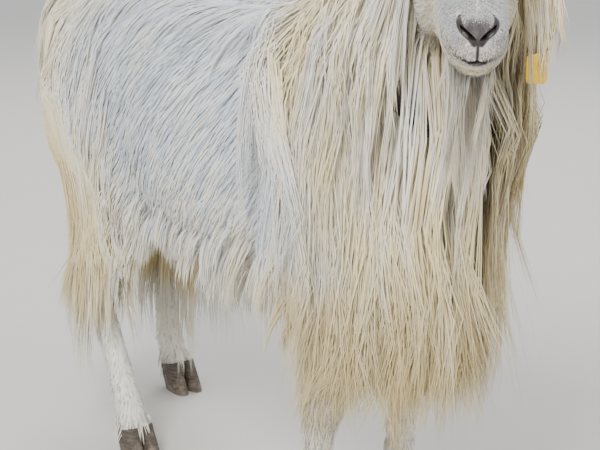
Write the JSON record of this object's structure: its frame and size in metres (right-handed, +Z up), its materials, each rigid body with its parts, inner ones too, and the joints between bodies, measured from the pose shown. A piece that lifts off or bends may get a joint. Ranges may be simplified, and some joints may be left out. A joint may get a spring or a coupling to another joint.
{
  "type": "long-haired billy goat display model",
  "caption": "Still, life-size model of a standing long-haired billy goat with swept horns, hanging ears, a collar and a bare ear tag.",
  "frame": {"origin": "on the floor, under the middle of the part's bounding box", "axes": "+X from tail to chest, +Y to the goat's left, +Z up"},
  "size_m": [1.231, 0.5056, 1.1233],
  "materials": {
    "coat": "long cream and white hair",
    "leg_coat": "short white hair",
    "face_coat": "short white hair with bare dark skin round the nostrils",
    "tail_coat": "grey and cream hair",
    "horn": "ringed grey-brown horn",
    "eyeball": "clear and moist, with an amber iris",
    "claw": "dull dark hoof horn",
    "strap": "worn dark strap",
    "tag_plastic": "plain yellow plastic with no marks"
  },
  "bodies": {
    "root": {"head": "face_coat", "neck": "coat", "shoulders": "coat", "barrel": "coat", "hindquarters": "coat", "tail": "tail_coat", "foreleg_right": "leg_coat", "foreleg_left": "leg_coat", "hind_leg_right": "leg_coat", "hind_leg_left": "leg_coat", "ear_right": "face_coat", "ear_left": "face_coat", "horn_right": "horn", "horn_left": "horn", "eye_right": "eyeball", "eye_left": "eyeball", "claw_fore_outer_right": "claw", "claw_fore_inner_right": "claw", "claw_hind_outer_right": "claw", "claw_hind_inner_right": "claw", "claw_fore_outer_left": "claw", "claw_fore_inner_left": "claw", "claw_hind_outer_left": "claw", "claw_hind_inner_left": "claw", "collar": "strap", "ear_tag": "tag_plastic"}
  },
  "joints": []
}
